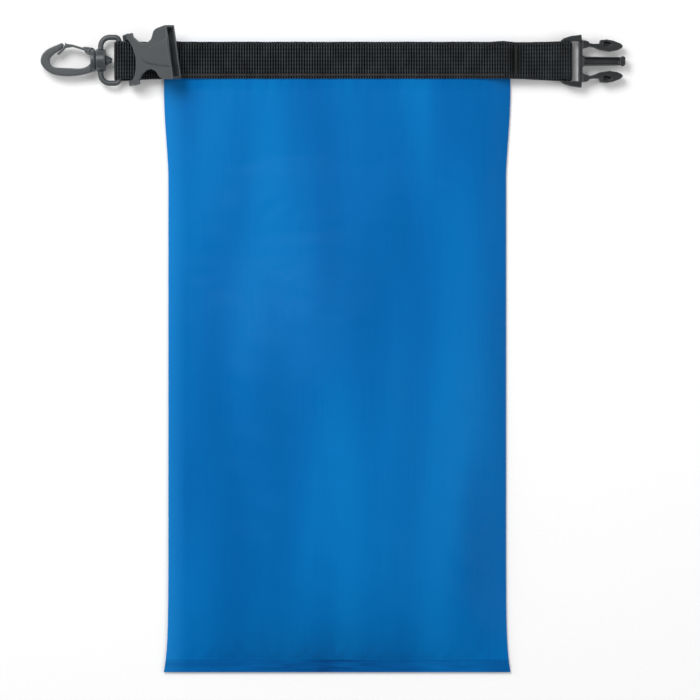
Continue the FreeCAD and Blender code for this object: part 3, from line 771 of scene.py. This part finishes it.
def strap(side, name, replaced):
    """Half of the one webbing strip, with its end looped over a bar."""
    at, path = strap_path(side)
    tangent = np.gradient(path, axis=0)
    tangent /= np.linalg.norm(tangent, axis=1, keepdims=True)
    normal = np.stack([-tangent[:, 1], tangent[:, 0]], axis=1)
    rib = np.abs(np.cos(math.pi * at / RIB_PITCH)) ** 0.75
    half = (STRAP_HIGH[1] - STRAP_LOW[1]) / 2
    middle_y = (STRAP_HIGH[1] + STRAP_LOW[1]) / 2
    across = np.linspace(-1, 1, 41)
    edge = np.abs(across) ** 14
    shift, wide, pull = strap_lie(at, path)
    crossing = 0.5 + 0.5 * np.cos(2 * math.pi * across * half / KNOT_PITCH)
    ring, uvs = [], []
    for i in range(len(at)):
        groove = (1 - rib[i]) * RIB_GROOVE + crossing * CROSSING_GROOVE
        groove = groove * (1 - 0.55 * edge)
        body = WEBBING / 2 * (1 - 0.35 * edge)
        dip = 0.55 * pull[i] * (1 - across**4)
        top = body - groove - 1.5 * dip
        low = groove - body - dip
        wander = 0.04 * math.sin(side * at[i] * 0.21) + 0.03 * math.sin(side * at[i] * 0.53)
        reach = half - 0.16 + 0.20 * rib[i] + wide[i]
        y = middle_y + across * reach + wander + shift[i]
        loop = np.concatenate([top, low[::-1]])
        ys = np.concatenate([y, y[::-1]])
        x = path[i, 0] + normal[i, 0] * loop
        z = path[i, 1] + normal[i, 1] * loop
        ring.append(np.stack([side * x, ys, z], axis=1))
        v = np.concatenate([across * half, across[::-1] * half + 2 * half])
        uvs.append(np.stack([np.full_like(v, side * at[i]), v], axis=1))
    ring = np.array(ring)
    rows, cols = ring.shape[:2]
    faces = []
    for r in range(rows - 1):
        for c in range(cols):
            d = (c + 1) % cols
            quad = (r * cols + c, r * cols + d, (r + 1) * cols + d, (r + 1) * cols + c)
            faces.append(quad if side < 0 else quad[::-1])
    last = (rows - 1) * cols
    caps = [tuple(range(cols))[::-1], tuple(last + c for c in range(cols))]
    faces += caps if side < 0 else [cap[::-1] for cap in caps]
    uvs = np.array(uvs).reshape(-1, 2)
    piece = add_piece(name, ring.reshape(-1, 3), faces, STRAP, None, replaced, uvs)
    near, far = side * (STRAP_BEND - BEND_REACH), side * (STRAP_BEND + BEND_REACH)
    blended_along_x(piece, near, far)


strap(-1, "strap_left", ("mouth_webbing", "left_tab_webbing"))
strap(1, "strap_right", ("right_tab_webbing",))

# ------------------------------------------------------------------ threads


def stitch(start, end, radius, rounds=6, rings=7):
    """One stitch: a short plump thread that dives in at both ends."""
    start, end = np.array(start, float), np.array(end, float)
    along = end - start
    length = np.linalg.norm(along)
    along /= length
    side = np.cross(along, (0, 0, 1.0))
    side /= np.linalg.norm(side)
    up = np.cross(side, along)
    verts = []
    for k in range(rings):
        t = k / (rings - 1)
        lift = math.sin(math.pi * t) ** 0.6
        middle = start + along * length * t + up * radius * (lift * 1.1 - 0.9)
        fat = radius * (0.45 + 0.55 * lift)
        for a in range(rounds):
            turn = 2 * math.pi * a / rounds
            verts.append(middle + fat * (math.cos(turn) * side + math.sin(turn) * up))
    faces = []
    for k in range(rings - 1):
        for a in range(rounds):
            b = (a + 1) % rounds
            here, above = k * rounds, (k + 1) * rounds
            faces.append((here + a, above + a, above + b, here + b))
    faces.append(tuple(range(rounds)))
    faces.append(tuple((rings - 1) * rounds + a for a in range(rounds))[::-1])
    return verts, faces


def threads(name, stitches, material, body, replaced):
    """A piece made of stitches, each given by its ends and its thread's radius."""
    verts, faces = [], []
    for start, end, radius in stitches:
        more, quads = stitch(start, end, radius)
        faces += [tuple(i + len(verts) for i in quad) for quad in quads]
        verts += more
    add_piece(name, verts, faces, material, body, (replaced,))


def straight_row(y):
    """A lockstitch along the strap, two ribs to a stitch."""
    top = STRAP_HIGH[2] + 0.02
    result = []
    for step in range(-31, 31):
        x = (2 * step + 0.5) * RIB_PITCH
        drift = 0.08 * math.sin(x * 0.7)
        start = (x, y + drift, top)
        result.append((start, (x + 1.75 * RIB_PITCH, y + drift + 0.05, top), 0.2))
    return result


def overlock_row(y):
    """Short stitches across the lower edge, one in each rib's valley."""
    top = STRAP_HIGH[2] - 0.12
    result = []
    for step in range(-64, 64):
        x = (step + 0.5) * RIB_PITCH
        reach = 0.74 + 0.12 * math.sin(step * 2.4)
        result.append(((x - 0.1, y - reach, top), (x + 0.1, y + reach, top), 0.24))
    return result


def tack_stitches(node):
    """A zigzag across the strap that holds down its returned end."""
    low, high = node_box(node)
    top = STRAP_HIGH[2] - 0.75
    pitch = 0.42
    result = []
    for turn in range(int((high[1] - low[1]) / pitch)):
        a, b = (low[0], high[0]) if turn % 2 else (high[0], low[0])
        y = low[1] + turn * pitch
        result.append(((a, y, top), (b, y + pitch, top), 0.22))
    return result


for name, stitches, material, body, replaced in (
    (
        "lower_edge_stitching", overlock_row(STITCH_LOW[1] + 0.1), BROWN_THREAD,
        "mouth_strip", "mouth_stitching",
    ),
    (
        "upper_edge_stitching", straight_row(STITCH_HIGH[1] - 0.3), DARK_THREAD,
        "mouth_strip", "mouth_stitching",
    ),
    (
        "left_tack_thread", tack_stitches("left_bar_tack"), DARK_THREAD,
        "left_tab", "left_bar_tack",
    ),
    (
        "right_tack_thread", tack_stitches("right_bar_tack"), DARK_THREAD,
        "right_tab", "right_bar_tack",
    ),
):
    threads(name, stitches, material, body, replaced)

# ------------------------------------------------------------------ moulded plastic


def baked(piece):
    """Applies a piece's modifiers."""
    graph = bpy.context.evaluated_depsgraph_get()
    mesh = bpy.data.meshes.new_from_object(piece.evaluated_get(graph))
    piece.modifiers.clear()
    piece.data = mesh


def prism(outline, z0, z1):
    """A flat block given by its XY outline in mm, as a bmesh."""
    block = bmesh.new()
    low = [block.verts.new((x * MM, y * MM, z0 * MM)) for x, y in outline]
    high = [block.verts.new((x * MM, y * MM, z1 * MM)) for x, y in outline]
    block.faces.new(low[::-1])
    block.faces.new(high)
    for k in range(len(outline)):
        n = (k + 1) % len(outline)
        block.faces.new((low[k], low[n], high[n], high[k]))
    bmesh.ops.recalc_face_normals(block, faces=block.faces)
    return block


def moulded(node, name, material, slot, rounds=5, blocks=(), voxel=0.26, keep=0.5):
    """The CAD node's shape with the soft edges of an injection moulding.

    rounds is how often it is smoothed, voxel how fine it is in mm, keep the share of faces
    left, and blocks are prisms that grow into one moulding with it.
    """
    whole = bmesh.new()
    whole.from_mesh(frame["nodes"][node].data)
    for block in blocks:
        part = bpy.data.meshes.new("block")
        prism(*block).to_mesh(part)
        whole.from_mesh(part)
    mesh = bpy.data.meshes.new(name)
    whole.to_mesh(mesh)
    piece = bpy.data.objects.new(name, mesh)
    bpy.context.scene.collection.objects.link(piece)
    weld = piece.modifiers.new("weld", "WELD")
    weld.merge_threshold = 1e-6
    remesh = piece.modifiers.new("voxels", "REMESH")
    remesh.mode = "VOXEL"
    remesh.voxel_size = voxel * MM
    rounding = piece.modifiers.new("rounding", "SMOOTH")
    rounding.factor = 0.5
    rounding.iterations = rounds
    lighter = piece.modifiers.new("lighter", "DECIMATE")
    lighter.ratio = keep
    bpy.context.view_layer.update()
    baked(piece)
    piece.data.materials.clear()
    piece.data.materials.append(material)
    piece.data.polygons.foreach_set("use_smooth", [True] * len(piece.data.polygons))
    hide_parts(node)
    return piece


# half outlines of the webs that the prongs spring from, measured from the male half's middle
PRONG_WEB = (
    (133.2, 6.2),
    (134.2, 7.1),
    (135.6, 7.35),
    (137.3, 7.9),
    (137.3, 10.0),
    (136.6, 10.8),
    (135.2, 11.25),
    (133.2, 11.3),
)


# the outline of the gate's root, measured from where it pivots
GATE_WEB = (
    (2.6, -3.0),
    (2.6, 1.6),
    (0.0, 2.0),
    (-2.9, 2.3),
    (-3.3, 1.7),
    (-2.9, 0.6),
    (-1.6, -1.4),
    (-0.2, -2.1),
)
FLEX_START, FLEX_END = 2.3, 7.0    # mm from its pivot, two places along a springing arm


def prong_web(side):
    """The root of one prong, growing out of the male half's cross plate."""
    outline = [(x, MALE_BAR[1] + side * y) for x, y in PRONG_WEB]
    return outline[::side], PRONG_LOW[2], PRONG_HIGH[2]


def gate_web():
    """The flat root that carries the hook's gate out of the collar."""
    outline = [(GATE_ROOT[0] + x, GATE_ROOT[1] + y) for x, y in GATE_WEB]
    return outline, GATE_LOW[2] + 0.3, GATE_HIGH[2] - 0.3


def hardware():
    """Both buckle halves, the ring, and the hook with its gate."""
    grey = (GREY_PLASTIC, "buckle_plastic")
    dark = (DARK_PLASTIC, "dark_plastic")
    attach(moulded("female_buckle", "socket_half", *grey), "female")
    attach(moulded("swivel_ring", "oval_ring", *grey, rounds=9), "ring")
    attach(moulded("snap_hook", "hook_body", *grey, rounds=14, blocks=[gate_web()]), "hook")
    gate = moulded("hook_gate", "gate_arm", *grey, rounds=4, voxel=0.2)
    root = GATE_ROOT[0]
    blended_along_x(gate, root - FLEX_START, root - FLEX_END)
    webs = [prong_web(1), prong_web(-1)]
    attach(moulded("male_buckle", "plug_half", *dark, blocks=webs), "male")
    for node, name, body in (
        ("male_prong_upper", "upper_prong", "prong_upper"),
        ("male_prong_lower", "lower_prong", "prong_lower"),
    ):
        prong = moulded(node, name, *dark)
        root = PRONG_ROOT[0]
        blended_along_x(prong, root + FLEX_START, root + FLEX_END)


hardware()

# ------------------------------------------------------------------ CAD nodes that stay

for node, material in (
    ("left_seam_tape", TAPE),
    ("right_seam_tape", TAPE),
    ("bottom_seam_tape", TAPE),
    ("front_stiffener", STIFFENER),
    ("back_stiffener", STIFFENER),
):
    materials = frame["nodes"][node].data.materials
    materials.clear()
    materials.append(material)

# ------------------------------------------------------------------ stage, lights and camera


def area_light(name, place, side, power):
    """A square white light that points at the frame's origin, in metres and watts."""
    light = bpy.data.lights.new(name, "AREA")
    light.shape = "RECTANGLE"
    light.size = light.size_y = side
    light.energy = power
    holder = bpy.data.objects.new(name, light)
    holder.location = place
    holder.rotation_euler = (-Vector(place)).to_track_quat("-Z", "Y").to_euler()
    bpy.context.scene.collection.objects.link(holder)


FLOOR_HALF = 3.0                   # metres
FLOOR_GAP = 0.0003                 # metres, so that the bag's back isn't level with it


def make_stage():
    """A pale floor, three lights and an even white world."""
    mesh = bpy.data.meshes.new("floor")
    corners = ((-1, -1), (1, -1), (1, 1), (-1, 1))
    mesh.from_pydata([(FLOOR_HALF * x, FLOOR_HALF * y, 0) for x, y in corners], [], [(0, 1, 2, 3)])
    mesh.materials.append(floor_material())
    floor = bpy.data.objects.new("floor", mesh)
    floor.location.z = -FLOOR_GAP
    bpy.context.scene.collection.objects.link(floor)
    area_light("key", (-0.42, 0.64, 1.05), 0.6, 10.6)
    area_light("fill", (0.95, -0.05, 1.1), 0.7, 4.2)
    area_light("side", (-1.2, 0.25, 0.38), 0.5, 2.0)
    world = bpy.data.worlds.new("studio")
    world.use_nodes = True
    background = world.node_tree.nodes["Background"]
    background.inputs["Color"].default_value = (1, 1, 1, 1)
    background.inputs["Strength"].default_value = 0.5
    bpy.context.scene.world = world
    bpy.context.scene.view_settings.view_transform = "Standard"


def make_camera():
    """Straight above the bag, a little right of and above its middle."""
    height = 2.0
    view_width = 0.3815
    sharp_level = 0.004
    camera = bpy.data.cameras.new("camera")
    camera.sensor_width = 36.0
    camera.lens = camera.sensor_width * (height - sharp_level) / view_width
    holder = bpy.data.objects.new("camera", camera)
    holder.location = (0.0070, 0.0038, height)
    bpy.context.scene.collection.objects.link(holder)
    bpy.context.scene.camera = holder


make_stage()
make_camera()
